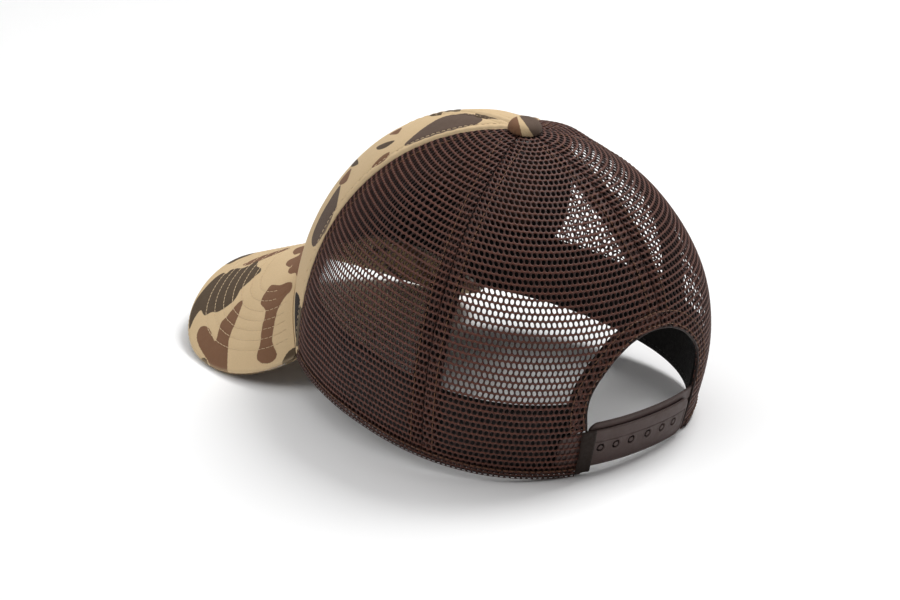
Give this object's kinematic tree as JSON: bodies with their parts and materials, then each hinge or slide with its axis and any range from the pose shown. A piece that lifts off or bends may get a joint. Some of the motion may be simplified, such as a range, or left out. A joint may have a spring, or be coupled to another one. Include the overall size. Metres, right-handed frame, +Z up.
{
  "type": "trucker mesh cap",
  "caption": "Trucker cap: printed cotton front panels and curved visor, net side and rear panels, arched rear opening closed by a two-piece snap strap.",
  "frame": {"origin": "middle of the bounding box, at the surface that the cap stands on", "axes": "+Z up, visor towards -Y, wearer's left towards +X, as the cap stands on its visor edges and rear feet"},
  "size_m": [0.1662, 0.274, 0.1392],
  "materials": {
    "printed_cotton": "printed cotton twill",
    "buckram": "fused stiffener",
    "net": "polyester hexagonal net",
    "tape": "woven seam tape",
    "band": "brushed cotton sweatband",
    "board": "moulded stiffener",
    "strap": "matte moulded plastic",
    "steel": "pressed shell",
    "label": "woven label"
  },
  "bodies": {
    "cap": {"front_panel_left": "printed_cotton", "front_panel_right": "printed_cotton", "front_buckram_left": "buckram", "front_buckram_right": "buckram", "side_mesh_left": "net", "side_mesh_right": "net", "rear_mesh_left": "net", "rear_mesh_right": "net", "arch_binding": "tape", "tape_centre_front": "tape", "tape_front_left": "tape", "tape_front_right": "tape", "tape_rear_left": "tape", "tape_rear_right": "tape", "tape_centre_back": "tape", "sweatband": "band", "sweatband_lining": "buckram", "hem_left": "net", "hem_right": "net", "visor_top_cover": "printed_cotton", "visor_board": "board", "visor_under_cover": "printed_cotton", "button_cover": "printed_cotton", "button_rivet": "steel", "button_back": "steel", "strap_holed_tab": "strap", "strap_pegged_tab": "strap", "side_label": "label"},
    "outer_strap": {"strap_holed": "strap"},
    "inner_strap": {"strap_pegged": "strap"}
  },
  "joints": [
    {"name": "outer_strap_swing", "type": "hinge", "parent": "cap", "child": "outer_strap", "pos_m": [0.02945, 0.12964, 0.01246], "axis": [-0.0395, -0.2435, -0.9691], "range_deg": [0, 75], "stiffness_Nm_per_rad": 0.01},
    {"name": "inner_strap_swing", "type": "hinge", "parent": "cap", "child": "inner_strap", "pos_m": [-0.03324, 0.12777, 0.01061], "axis": [0.0498, -0.2542, -0.9659], "range_deg": [0, 40], "stiffness_Nm_per_rad": 0.01}
  ]
}
